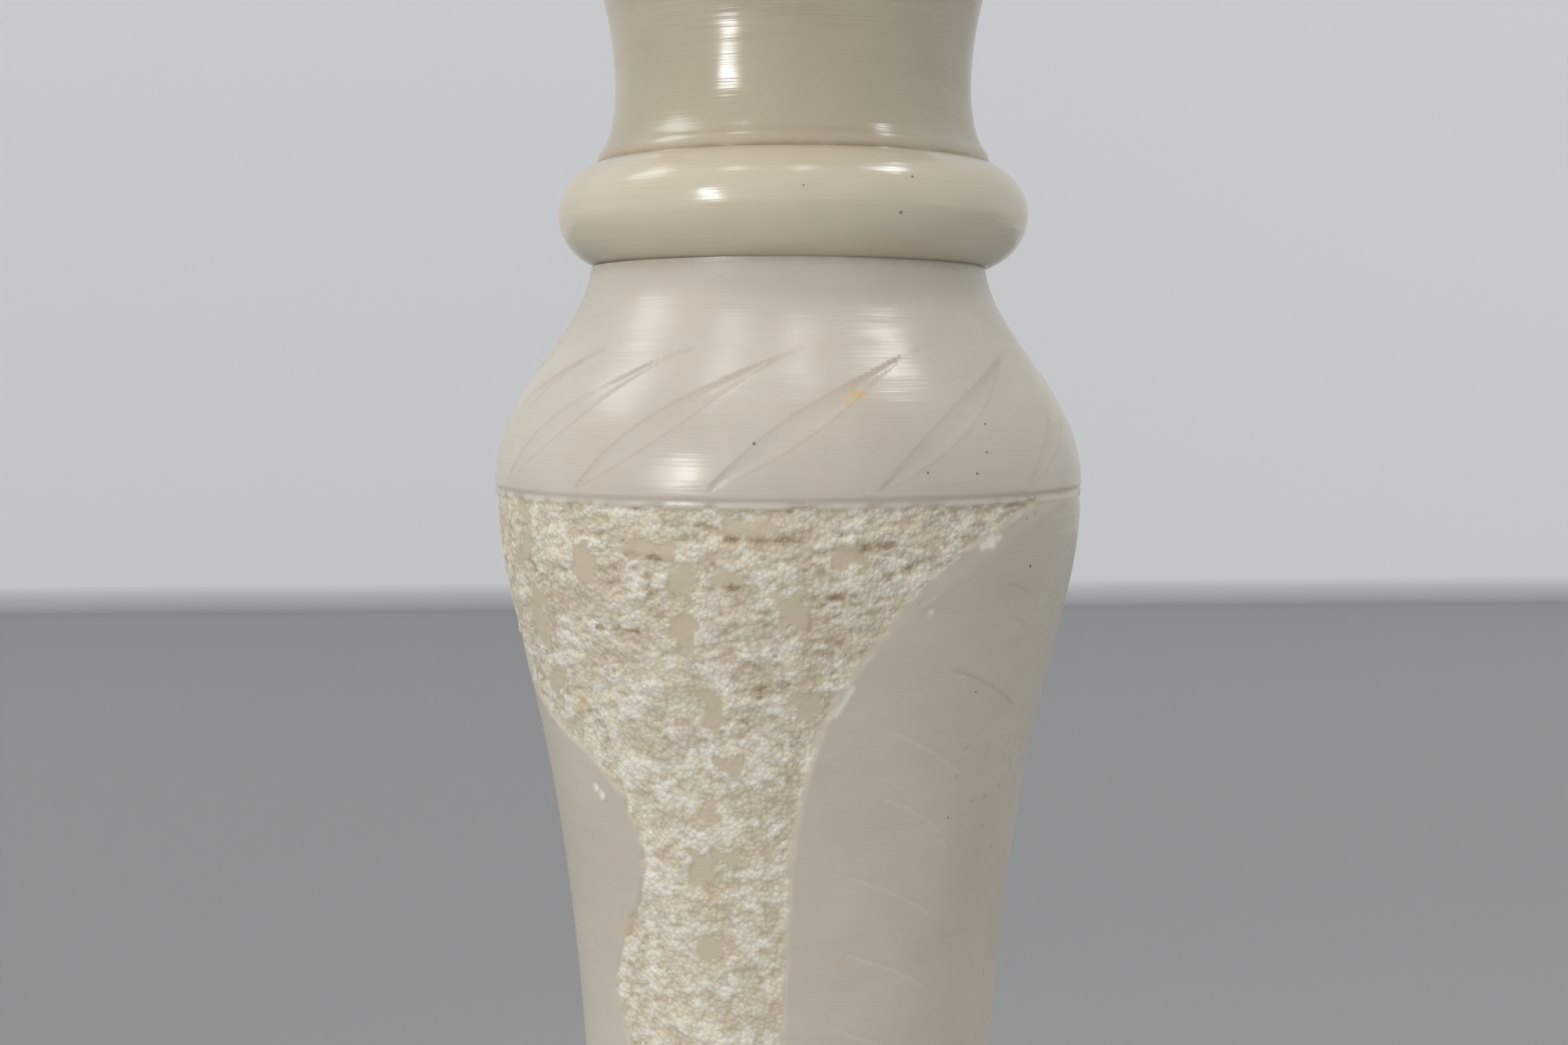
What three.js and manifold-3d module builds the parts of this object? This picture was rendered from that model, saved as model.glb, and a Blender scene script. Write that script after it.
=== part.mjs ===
// Alabaster pedestal of five turned blocks: base slab, foot, carved shaft, neck and top slab.
// Millimetres, +Z up, origin in the middle of the underside.
// Angles round the axis start at -Y, which is the front, and grow towards +X.

import * as THREE from "three";
import { mergeVertices } from "three/addons/utils/BufferGeometryUtils.js";
import Module from "manifold-3d";

const wasm = await Module();
wasm.setup();

// Heights of the blocks and of their stretches, from the floor up
const BASE_HEIGHT = 45;
const BELL_HEIGHT = 97.8; // flared part of the foot, below its ring
const RING_HEIGHT = 33.7; // thick ring at the foot's top, and again at the neck's bottom
const BODY_HEIGHT = 560; // carved part of the shaft, up to its groove
const SHOULDER_HEIGHT = 72.6; // shaft above the groove
const NECK_HEIGHT = 118; // hollow part of the neck, above its ring
const TOP_HEIGHT = 38;
const BED = 0.3; // adhesive between two blocks
const NECK_SHIFT = 1.7; // the neck was set this far off the shaft's axis, towards +X

// Radii
const BASE_RADIUS = 138;
const BELL_RADIUS = 106;
const SEAT_RADIUS = 67.1; // where a ring meets the shaft
const RING_RADIUS = 79.7;
const BELLY_RADIUS = 100; // shaft at its groove
const SLIM_RADIUS = 67; // shaft at its slimmest
const WAIST_RADIUS = 60.25; // neck and foot at their slimmest
const NECK_TOP_RADIUS = 92;
const TOP_RADIUS = 125;

// Turned details
const SLIM_DEPTH = 340; // from the groove down to the shaft's slimmest place
const WAIST_DISTANCE = 25.7; // from a ring to the waist beside it
const LIP_HEIGHT = 3.5; // narrow band between a ring and the hollow
const LIP_TAPER = 1; // the band narrows by this much away from the ring
const RING_ARC = THREE.MathUtils.degToRad(69); // a ring's round runs this far above and below its middle
const GROOVE_WIDTH = 2.6;
const GROOVE_DEPTH = 1;
const FOOT_BAND = 60; // plain band under the shaft's lower groove
const BELL_BAND = 10; // upright edge at the bell's bottom
const BASE_ROUND = 18;
const TOP_ROUND = 16; // lower edge of the top slab
const EDGE_EASE = 3; // small rounding of the other edges
const GROOVE_SLOPE = 0.3; // share of a groove's width that each of its slopes takes

// Pulls of the curves, as shares of their own height or reach
const LIP_PULL = 0.27; // how soon the hollow turns upright above the lip
const WAIST_PULL = 0.09;
const FLARE_PULL = 0.46;
const SLIM_PULL = 0.2; // how far up the shaft stays slim
const BELLY_PULL = 0.175; // how far down it stays full
const SHOULDER_PULL = 0.435;
const COLLAR_PULL = 0.66;
const COLLAR_REACH = 0.09; // how far outside its seat the shoulder turns upright

// Carved details of the shaft
const LEAF_COUNT = 2;
const LEAF_MIDRIB = THREE.MathUtils.degToRad(68); // angle of the first leaf's middle
const LEAF_REACH = THREE.MathUtils.degToRad(69); // from the midrib to the edge, where the leaf is full
const PLAIN_RISE = 34; // depth over which the plain edge opens
const TIP_REACH = THREE.MathUtils.degToRad(22); // lobed edge beside the slim tip
const TIP_RISE = 12;
const LOBE_START = 75; // depth at which the lobed edge swings out
const LOBE_SHARPNESS = 7;
const LOBE_SWING = THREE.MathUtils.degToRad(7);
const LOBE_DEPTH = 115; // depth of the first lobe's widest place
const LOBE_PITCH = 98;
const GROUND_DEPTH = 2; // rough ground below the turned face
const RIM_HEIGHT = 1.4; // smooth rim between a groove and the rough ground
const PLAIN_BEVEL = 5.5; // smooth slope from a leaf's plain edge down to the rough ground
const LOBED_BEVEL = 2.5; // the same at the lobed edge
const GOUGE_COUNT = 12;
const GOUGE_START = THREE.MathUtils.degToRad(11); // angle of the first gouge's upper tip, if all were even
const GOUGE_UNEVEN = THREE.MathUtils.degToRad(11.8); // they crowd together on one side by this much
const GOUGE_LAG = THREE.MathUtils.degToRad(48); // turn from the first gouge to the one that is moved most
const GOUGE_SWEEP = THREE.MathUtils.degToRad(48); // from the upper tip back to the lower tip
const GOUGE_TOP = 44; // upper tip above the groove
const GOUGE_BOTTOM = 1; // lower tip above the groove
const GOUGE_WIDTH = 8;
const GOUGE_DEPTH = 1.2; // in its middle
const GOUGE_EDGE = 0.5; // along its edges
const GOUGE_TIP = 0.8; // width of its pointed ends
const GOUGE_BEND = 1.3; // over 1, the upper end runs flatter than the rest
const GOUGE_LEAN = 1.6; // over 1, the widest place lies nearer the lower end

// Fineness of the facets
const SIDES = 40;
const ROUND_STEPS = 4;
const RING_STEPS = 7;
const SHORT_STEPS = 3;
const LONG_STEPS = 6;
const SHOULDER_STEPS = 10;
const BODY_STEPS = 12;
const GOUGE_STEPS = 6;
const GROUND_ROWS = 13;
const GROUND_COLUMNS = 16;
const GROUND_CROWD = 1.5; // over 1, the rows lie closer near the groove
const CUT_CLEAR = 3; // a cut starts this far outside the edge that it makes
const CUT_TOP = 5; // and stands this far out from the face
const WELD = 0.02; // slivers of a cut narrower than this are closed up

// Points on a cubic curve between two places of an outline, without the first one.
function bow(from, pullFrom, pullTo, to, steps) {
  const curve = new THREE.CubicBezierCurve(
    new THREE.Vector2(...from),
    new THREE.Vector2(...pullFrom),
    new THREE.Vector2(...pullTo),
    new THREE.Vector2(...to),
  );
  return curve.getPoints(steps).slice(1).map((point) => [point.x, point.y]);
}

// Points on an arc of an ellipse round [centre], from one angle to another.
function arc([radius, height], reachOut, reachUp, fromAngle, toAngle, steps) {
  const curve = new THREE.EllipseCurve(
    radius, height, reachOut, reachUp, fromAngle, toAngle, fromAngle > toAngle,
  );
  return curve.getPoints(steps).map((point) => [point.x, point.y]);
}

// A solid turned about the Z axis. The outline is a list of [radius, height], from the bottom up.
function turned(outline) {
  const bottom = outline[0][1];
  const top = outline[outline.length - 1][1];
  const points = [[0, bottom], ...outline, [0, top]].map((point) => new THREE.Vector2(...point));
  return new THREE.LatheGeometry(points, SIDES).rotateX(Math.PI / 2);
}

// Outline of a ring from the seat up, and of the lip above it. The foot's is the same, turned over.
function ringAndLip() {
  const reachOut = (RING_RADIUS - SEAT_RADIUS) / (1 - Math.cos(RING_ARC));
  const reachUp = RING_HEIGHT / 2 / Math.sin(RING_ARC);
  const centre = [RING_RADIUS - reachOut, RING_HEIGHT / 2];
  return [
    ...arc(centre, reachOut, reachUp, -RING_ARC, RING_ARC, RING_STEPS),
    [SEAT_RADIUS - LIP_TAPER, RING_HEIGHT + LIP_HEIGHT],
  ];
}

// Outline of a hollow from the lip to the waist and out again to an end radius.
function hollow(endRadius, endHeight) {
  const lip = [SEAT_RADIUS - LIP_TAPER, RING_HEIGHT + LIP_HEIGHT];
  const waist = RING_HEIGHT + WAIST_DISTANCE;
  const short = WAIST_DISTANCE - LIP_HEIGHT;
  const long = endHeight - waist;
  return [
    ...bow(
      lip,
      [WAIST_RADIUS, lip[1] + LIP_PULL * short],
      [WAIST_RADIUS, waist],
      [WAIST_RADIUS, waist],
      SHORT_STEPS,
    ),
    ...bow(
      [WAIST_RADIUS, waist],
      [WAIST_RADIUS, waist + WAIST_PULL * long],
      [WAIST_RADIUS, waist + FLARE_PULL * long],
      [endRadius, endHeight],
      LONG_STEPS,
    ),
  ];
}

function neckOutline() {
  const top = RING_HEIGHT + NECK_HEIGHT;
  return [...ringAndLip(), ...hollow(NECK_TOP_RADIUS, top)];
}

// The foot is the neck's form turned over, with a wider bell that ends in an upright band.
function footOutline() {
  const height = RING_HEIGHT + BELL_HEIGHT;
  const fromRing = [
    ...ringAndLip(),
    ...hollow(BELL_RADIUS, height - BELL_BAND),
    [BELL_RADIUS, height],
  ];
  return fromRing.map(([radius, depth]) => [radius, height - depth]).reverse();
}

function baseOutline() {
  return [
    [BASE_RADIUS - EDGE_EASE, 0],
    [BASE_RADIUS, EDGE_EASE],
    ...arc(
      [BASE_RADIUS - BASE_ROUND, BASE_HEIGHT - BASE_ROUND],
      BASE_ROUND, BASE_ROUND, 0, Math.PI / 2, ROUND_STEPS,
    ),
  ];
}

function topOutline() {
  return [
    ...arc([TOP_RADIUS - TOP_ROUND, TOP_ROUND], TOP_ROUND, TOP_ROUND, -Math.PI / 2, 0, ROUND_STEPS),
    [TOP_RADIUS, TOP_HEIGHT - EDGE_EASE],
    [TOP_RADIUS - EDGE_EASE, TOP_HEIGHT],
  ];
}

// A groove cut into an outline at a height, from its lower edge up.
function groove(radius, height) {
  return [
    [radius, height - GROOVE_WIDTH],
    [radius - GROOVE_DEPTH, height - (1 - GROOVE_SLOPE) * GROOVE_WIDTH],
    [radius - GROOVE_DEPTH, height - GROOVE_SLOPE * GROOVE_WIDTH],
    [radius, height],
  ];
}

// The shaft's outline. Its own heights are measured from the main groove, so the body's are negative.
function shaftOutline() {
  const body = bow(
    [SLIM_RADIUS, -SLIM_DEPTH],
    [SLIM_RADIUS, -SLIM_PULL * SLIM_DEPTH],
    [BELLY_RADIUS, -BELLY_PULL * SLIM_DEPTH],
    [BELLY_RADIUS, -GROOVE_WIDTH],
    BODY_STEPS,
  ).slice(0, -1);
  const collar = SEAT_RADIUS + COLLAR_REACH * (BELLY_RADIUS - SEAT_RADIUS);
  const shoulder = bow(
    [BELLY_RADIUS, 0],
    [BELLY_RADIUS, SHOULDER_PULL * SHOULDER_HEIGHT],
    [collar, COLLAR_PULL * SHOULDER_HEIGHT],
    [SEAT_RADIUS, SHOULDER_HEIGHT],
    SHOULDER_STEPS,
  );
  return [
    [SEAT_RADIUS, -BODY_HEIGHT],
    ...groove(SLIM_RADIUS, FOOT_BAND - BODY_HEIGHT),
    [SLIM_RADIUS, -SLIM_DEPTH],
    ...body,
    ...groove(BELLY_RADIUS, 0),
    ...shoulder,
  ];
}

// The shaft's radius at a height, read off its outline with the grooves bridged over.
const shaftFace = shaftOutline().filter(([radius], index, all) => {
  const before = all[Math.max(index - 1, 0)][0];
  const after = all[Math.min(index + 1, all.length - 1)][0];
  return radius >= Math.min(before, after);
});

function shaftRadius(height) {
  const above = shaftFace.findIndex((point) => point[1] >= height);
  if (above <= 0) return shaftFace[above === 0 ? 0 : shaftFace.length - 1][0];
  const [lowRadius, low] = shaftFace[above - 1];
  const [highRadius, high] = shaftFace[above];
  return THREE.MathUtils.mapLinear(height, low, high, lowRadius, highRadius);
}

// The point at an angle and a height, standing out from the shaft's turned face.
function onShaft(angle, height, out) {
  const radius = shaftRadius(height) + out;
  return new THREE.Vector3(radius * Math.sin(angle), -radius * Math.cos(angle), height);
}

// How far a leaf's plain edge lies from its midrib at a depth below the groove.
function plainReach(depth) {
  return LEAF_REACH * (1 - Math.exp(-depth / PLAIN_RISE));
}

// The same for the lobed edge: a slim tip, a swing outwards, then a row of lobes.
function lobedReach(depth) {
  const tip = TIP_REACH * (1 - Math.exp(-depth / TIP_RISE));
  const swung = 1 - Math.exp(-((depth / LOBE_START) ** LOBE_SHARPNESS));
  const lobes = LOBE_SWING * Math.cos((2 * Math.PI * (depth - LOBE_DEPTH)) / LOBE_PITCH);
  return tip + (LEAF_REACH + lobes - tip) * swung;
}

// A closed mesh as a solid for cutting.
function solidOf(geometry) {
  const bare = geometry.clone();
  bare.deleteAttribute("normal");
  bare.deleteAttribute("uv");
  const merged = mergeVertices(bare, 1e-3);
  return new wasm.Manifold(
    new wasm.Mesh({
      numProp: 3,
      vertProperties: new Float32Array(merged.attributes.position.array),
      triVerts: new Uint32Array(merged.index.array),
    }),
  );
}

function geometryOf(solid) {
  const mesh = solid.getMesh();
  const geometry = new THREE.BufferGeometry();
  geometry.setAttribute("position", new THREE.BufferAttribute(mesh.vertProperties, 3));
  geometry.setIndex(new THREE.BufferAttribute(mesh.triVerts, 1));
  geometry.computeVertexNormals();
  return geometry;
}

// Moves each vertex of a geometry to where place(x, y, z) says.
function reshaped(geometry, place) {
  const position = geometry.attributes.position;
  for (let i = 0; i < position.count; i += 1) {
    const point = place(position.getX(i), position.getY(i), position.getZ(i));
    position.setXYZ(i, ...point.toArray());
  }
  return geometry;
}

// What is cut away between one leaf's lobed edge and the next leaf's plain edge.
// A block of columns is bent round the shaft: its inner face is the ground with a bevel on both sides.
function groundCutter(leaf) {
  const lobedMidrib = LEAF_MIDRIB + ((leaf - 1) * 2 * Math.PI) / LEAF_COUNT;
  const plainMidrib = LEAF_MIDRIB + (leaf * 2 * Math.PI) / LEAF_COUNT;
  const highest = GROOVE_WIDTH + RIM_HEIGHT;
  const lowest = BODY_HEIGHT - FOOT_BAND - RIM_HEIGHT;
  const block = new THREE.BoxGeometry(1, 1, 1, GROUND_COLUMNS, GROUND_ROWS, 1);
  return reshaped(block, (x, y, z) => {
    const depth = THREE.MathUtils.lerp(highest, lowest, (0.5 - y) ** GROUND_CROWD);
    const radius = shaftRadius(-depth);
    const column = Math.round((x + 0.5) * GROUND_COLUMNS);
    const lobedEdge = lobedMidrib + lobedReach(depth);
    const plainEdge = plainMidrib - plainReach(depth);
    const share = (column - 1) / (GROUND_COLUMNS - 2);
    const left = lobedEdge + LOBED_BEVEL / radius;
    const right = plainEdge - PLAIN_BEVEL / radius;
    let angle = THREE.MathUtils.lerp(left, right, share);
    let floor = -GROUND_DEPTH;
    if (column === 0) {
      angle = lobedEdge - CUT_CLEAR / radius;
      floor = (GROUND_DEPTH * CUT_CLEAR) / LOBED_BEVEL;
    }
    if (column === GROUND_COLUMNS) {
      angle = plainEdge + CUT_CLEAR / radius;
      floor = (GROUND_DEPTH * CUT_CLEAR) / PLAIN_BEVEL;
    }
    return onShaft(angle, -depth, z > 0 ? CUT_TOP : floor);
  });
}

// One slanted gouge of the shoulder: a wedge that narrows to both ends, bent along the turned face.
function gougeCutter(turn) {
  const start = GOUGE_START + turn - GOUGE_UNEVEN * Math.cos(turn - GOUGE_LAG);
  const drop = GOUGE_TOP - GOUGE_BOTTOM;
  const slant = Math.atan2(drop, GOUGE_SWEEP * BELLY_RADIUS);
  const wedge = new THREE.BoxGeometry(2, 1, 1, 2, GOUGE_STEPS, 1);
  return reshaped(wedge, (x, y, z) => {
    const along = 0.5 - y;
    const fullness = Math.sin(Math.PI * along ** GOUGE_LEAN);
    const across = (x * Math.max(GOUGE_WIDTH * fullness, GOUGE_TIP)) / 2;
    const height = GOUGE_TOP - drop * along ** GOUGE_BEND - across * Math.cos(slant);
    const angle = start - GOUGE_SWEEP * along + (across * Math.sin(slant)) / BELLY_RADIUS;
    const middle = THREE.MathUtils.lerp(GOUGE_EDGE, GOUGE_DEPTH, fullness);
    const depth = x === 0 ? middle : GOUGE_EDGE;
    return onShaft(angle, height, z > 0 ? CUT_TOP : -depth);
  });
}

function carvedShaft() {
  let shaft = solidOf(turned(shaftOutline()));
  for (let leaf = 0; leaf < LEAF_COUNT; leaf += 1) {
    shaft = shaft.subtract(solidOf(groundCutter(leaf)));
  }
  for (let gouge = 0; gouge < GOUGE_COUNT; gouge += 1) {
    shaft = shaft.subtract(solidOf(gougeCutter((gouge * 2 * Math.PI) / GOUGE_COUNT)));
  }
  return geometryOf(shaft.simplify(WELD));
}

// Pale alabaster: the shaft is the lightest block, the neck is browner.
function alabaster(color) {
  return new THREE.MeshStandardMaterial({ color, roughness: 0.35, metalness: 0 });
}

function block(name, geometry, color, height) {
  const mesh = new THREE.Mesh(geometry, alabaster(color));
  mesh.name = name;
  mesh.position.z = height;
  return mesh;
}

const footFloor = BASE_HEIGHT + BED;
const shaftFloor = footFloor + BELL_HEIGHT + RING_HEIGHT + BED;
const grooveHeight = shaftFloor + BODY_HEIGHT;
const neckFloor = grooveHeight + SHOULDER_HEIGHT + BED;
const topFloor = neckFloor + RING_HEIGHT + NECK_HEIGHT + BED;

const pedestal = new THREE.Group();
pedestal.add(
  block("base_slab", turned(baseOutline()), 0xc4baa6, 0),
  block("foot", turned(footOutline()), 0xb2a68e, footFloor),
  block("shaft", carvedShaft(), 0xcbc3b3, grooveHeight),
);

const upperBlocks = new THREE.Group();
upperBlocks.position.x = NECK_SHIFT;
upperBlocks.add(
  block("neck", turned(neckOutline()), 0xb2a68e, neckFloor),
  block("top_slab", turned(topOutline()), 0xc4baa6, topFloor),
);
pedestal.add(upperBlocks);

export default pedestal;
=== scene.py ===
"""Alabaster pedestal: fine meshes of its five turned blocks, their finishes, a studio and the camera.

Metres, +Z up. Angles round the axis start at -Y, which is the front, and grow towards +X.
"""

import math

import bpy
import numpy as np
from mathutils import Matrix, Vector, noise


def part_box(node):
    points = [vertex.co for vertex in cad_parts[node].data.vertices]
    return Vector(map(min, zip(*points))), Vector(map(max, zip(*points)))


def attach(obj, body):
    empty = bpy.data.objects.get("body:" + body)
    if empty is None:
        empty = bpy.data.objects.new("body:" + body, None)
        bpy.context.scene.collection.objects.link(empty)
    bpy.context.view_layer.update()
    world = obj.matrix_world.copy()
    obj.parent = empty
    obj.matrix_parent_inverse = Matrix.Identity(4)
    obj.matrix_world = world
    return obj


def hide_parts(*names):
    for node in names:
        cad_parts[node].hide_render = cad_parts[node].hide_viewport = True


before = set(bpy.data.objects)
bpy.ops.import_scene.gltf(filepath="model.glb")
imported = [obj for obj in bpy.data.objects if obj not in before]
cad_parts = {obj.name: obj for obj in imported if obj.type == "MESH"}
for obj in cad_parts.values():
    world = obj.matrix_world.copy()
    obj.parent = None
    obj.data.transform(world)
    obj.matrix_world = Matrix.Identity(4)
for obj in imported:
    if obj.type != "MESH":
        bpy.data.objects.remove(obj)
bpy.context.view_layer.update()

MM = 0.001

# Turned forms that several blocks share
SEAT_RADIUS = 67.1 * MM  # where a ring meets the shaft
RING_HEIGHT = 33.7 * MM
RING_RADIUS = 79.7 * MM
RING_ARC = math.radians(69)
LIP_HEIGHT = 3.5 * MM
LIP_TAPER = 1 * MM
WAIST_RADIUS = 60.25 * MM
WAIST_DISTANCE = 25.7 * MM
BELL_BAND = 10 * MM
BASE_ROUND = 18 * MM
TOP_ROUND = 16 * MM
EDGE_EASE = 3 * MM
BED = 0.28 * MM  # adhesive between the blocks, which a block's underside takes in here

# Pulls of the curves, as shares of their own height or reach
LIP_PULL = 0.27
WAIST_PULL = 0.09
FLARE_PULL = 0.46
SLIM_PULL = 0.2
BELLY_PULL = 0.175
SHOULDER_PULL = 0.435
COLLAR_PULL = 0.66
COLLAR_REACH = 0.09

# Shaft, with heights measured from its groove
SHOULDER_HEIGHT = 72.6 * MM
SLIM_RADIUS = 67 * MM
SLIM_DEPTH = 340 * MM
GROOVE_WIDTH = 2.6 * MM
GROOVE_DEPTH = 0.4 * MM
GROOVE_FLOOR = 0.25  # share of the width at which the groove is deepest, from its upper edge
FOOT_BAND = 60 * MM

# Leaves and the rough ground between them
LEAF_MIDRIB = math.radians(68)
LEAF_REACH = math.radians(69)
PLAIN_RISE = 34 * MM
TIP_REACH = math.radians(22)
TIP_RISE = 12 * MM
LOBE_START = 75 * MM
LOBE_SHARPNESS = 7
LOBE_SWING = math.radians(7)
LOBE_DEPTH = 115 * MM
LOBE_PITCH = 98 * MM
RIM_HEIGHT = 0.3 * MM
WIDE_BEVEL = 6 * MM  # smooth slope beside the plain edge, high up
SLIM_BEVEL = 1.4 * MM  # the same further down
LOBED_BEVEL = 0.8 * MM  # beside the lobed edge
BEVEL_NARROWS = (14 * MM, 54 * MM)  # depths between which the plain bevel narrows
BEVEL_DEPTH = 0.4 * MM
GROUND_DEPTH = 0.85 * MM  # middle level of the rough ground
GRAIN_SIZE = 2.3 * MM
FLAT_WIDTH = 9 * MM
FLAT_HEIGHT = 7.5 * MM
FUNNEL_DEPTH = 85 * MM  # below this the ground has few flats

# Gouges of the shoulder
GOUGE_COUNT = 12
GOUGE_START = math.radians(11)
GOUGE_UNEVEN = math.radians(11.8)
GOUGE_LAG = math.radians(48)
GOUGE_SWEEP = math.radians(44.5)
GOUGE_TOP = 44 * MM
GOUGE_BOTTOM = 1 * MM
GOUGE_WIDTH = 8 * MM
GOUGE_DEPTH = 0.32 * MM
GOUGE_TIP = 0.35 * MM  # half width of the thin line it starts as
GOUGE_BEND = 1.3
GOUGE_LEAN = 1.6

# Fineness of the shaft's mesh
BASE_COLUMNS = 90
BASE_ROWS = 90
SPLITS = 8  # lattice steps along a side of a base cell
PHOTO_DEPTH = 192 * MM  # the photo ends at this depth
PHOTO_TURN = math.radians(86)  # and shows the shaft this far round from the front


# Outlines

def bow(start, pull_start, pull_end, end, steps):
    """Points on a cubic curve, without the first one."""
    share = np.linspace(0, 1, steps + 1)[1:, None]
    rest = 1 - share
    points = (
        rest**3 * np.array(start)
        + 3 * share * rest**2 * np.array(pull_start)
        + 3 * share**2 * rest * np.array(pull_end)
        + share**3 * np.array(end)
    )
    return [tuple(point) for point in points]


def arc(centre, reach_out, reach_up, start, end, steps):
    """Points on an arc of an ellipse, its first and last included."""
    turns = np.linspace(start, end, steps + 1)
    return [(centre[0] + reach_out * math.cos(t), centre[1] + reach_up * math.sin(t)) for t in turns]


def ring_and_lip():
    """A ring from its seat up, and the narrow band above it."""
    reach_out = (RING_RADIUS - SEAT_RADIUS) / (1 - math.cos(RING_ARC))
    reach_up = RING_HEIGHT / 2 / math.sin(RING_ARC)
    centre = (RING_RADIUS - reach_out, RING_HEIGHT / 2)
    return arc(centre, reach_out, reach_up, -RING_ARC, RING_ARC, 36) + [
        (SEAT_RADIUS - 0.5 * LIP_TAPER, RING_HEIGHT + 0.5 * LIP_HEIGHT),
        (SEAT_RADIUS - LIP_TAPER, RING_HEIGHT + LIP_HEIGHT),
    ]


def hollow(end_radius, end_height):
    """From the lip in to the waist and out again to an end radius."""
    lip = (SEAT_RADIUS - LIP_TAPER, RING_HEIGHT + LIP_HEIGHT)
    waist = (WAIST_RADIUS, RING_HEIGHT + WAIST_DISTANCE)
    short = WAIST_DISTANCE - LIP_HEIGHT
    long = end_height - waist[1]
    return bow(lip, (WAIST_RADIUS, lip[1] + LIP_PULL * short), waist, waist, 16) + bow(
        waist,
        (WAIST_RADIUS, waist[1] + WAIST_PULL * long),
        (WAIST_RADIUS, waist[1] + FLARE_PULL * long),
        (end_radius, end_height),
        36,
    )


def neck_outline(height, top_radius):
    return ring_and_lip() + hollow(top_radius, height)


def foot_outline(height, bell_radius):
    """The neck's form turned over, with a wider bell that ends in an upright band."""
    from_ring = ring_and_lip() + hollow(bell_radius, height - BELL_BAND)
    from_ring += [(bell_radius, height - 0.5 * BELL_BAND), (bell_radius, height)]
    return [(radius, height - depth) for radius, depth in reversed(from_ring)]


def base_outline(height, radius):
    centre = (radius - BASE_ROUND, height - BASE_ROUND)
    foot = arc((radius - EDGE_EASE, EDGE_EASE), EDGE_EASE, EDGE_EASE, -math.pi / 2, 0, 5)
    return foot + arc(centre, BASE_ROUND, BASE_ROUND, 0, math.pi / 2, 16)


def top_outline(height, radius):
    ease = (radius - EDGE_EASE, height - EDGE_EASE)
    under = arc((radius - TOP_ROUND, TOP_ROUND), TOP_ROUND, TOP_ROUND, -math.pi / 2, 0, 14)
    return under + arc(ease, EDGE_EASE, EDGE_EASE, 0, math.pi / 2, 5)


def shaft_face():
    """The shaft's turned face without its grooves, as heights and radii."""
    body = bow(
        (SLIM_RADIUS, -SLIM_DEPTH),
        (SLIM_RADIUS, -SLIM_PULL * SLIM_DEPTH),
        (BELLY_RADIUS, -BELLY_PULL * SLIM_DEPTH),
        (BELLY_RADIUS, -GROOVE_WIDTH),
        120,
    )
    collar = SEAT_RADIUS + COLLAR_REACH * (BELLY_RADIUS - SEAT_RADIUS)
    shoulder = bow(
        (BELLY_RADIUS, 0),
        (BELLY_RADIUS, SHOULDER_PULL * SHOULDER_HEIGHT),
        (collar, COLLAR_PULL * SHOULDER_HEIGHT),
        (SEAT_RADIUS, SHOULDER_HEIGHT),
        60,
    )
    foot = [(SEAT_RADIUS, -BODY_HEIGHT), (SLIM_RADIUS, FOOT_BAND - BODY_HEIGHT), (SLIM_RADIUS, -SLIM_DEPTH)]
    points = np.array(foot + body + [(BELLY_RADIUS, 0)] + shoulder)
    return points[:, 1], points[:, 0]


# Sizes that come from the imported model
shaft_low, shaft_high = (Vector(corner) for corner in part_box("shaft"))
BELLY_RADIUS = (shaft_high.x - shaft_low.x) / 2
GROOVE_HEIGHT = shaft_high.z - SHOULDER_HEIGHT
BODY_HEIGHT = GROOVE_HEIGHT - shaft_low.z
FACE_HEIGHTS, FACE_RADII = shaft_face()
NECK_LOW, NECK_HIGH = (Vector(corner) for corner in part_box("neck"))


# Tool marks and wear on the shaft, with angles in degrees and heights above the groove in millimetres

PLAIN_VEINS = 13  # in each leaf, below those that the photo shows
PLAIN_VEIN_PITCH = 26


def repeated_veins():
    """Incised strokes of both leaves: start, end, sag and soil. A plain row follows further down."""
    measured = [
        ((44.9, -28.5), (51.3, -32.2), 0.3, 0.30),
        ((46.7, -38.5), (61.7, -53.6), 1.0, 0.12),
        ((33.6, -54.2), (54.2, -69.4), 1.2, 0.42),
        ((19.7, -72.0), (39.8, -89.6), 1.4, 0.0),
        ((21.0, -94.7), (35.3, -107.1), 1.4, 0.0),
        ((36.0, -109.4), (38.6, -112.6), 0.2, 0.0),
        ((13.5, -119.2), (34.5, -134.0), 1.2, 0.04),
    ]
    further = []
    for row in range(PLAIN_VEINS):
        drop = PLAIN_VEIN_PITCH * row
        further.append(((14, -145 - drop), (36, -160 - drop), 1.4, 0.0))
    strokes = []
    for (start_angle, start_height), (end_angle, end_height), sag, soil_and_shade in measured + further:
        for turn in (0, 180):
            start = (math.radians(start_angle + turn), start_height * MM)
            end = (math.radians(end_angle + turn), end_height * MM)
            strokes.append((start, end, sag * MM, soil_and_shade))
    return strokes


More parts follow.
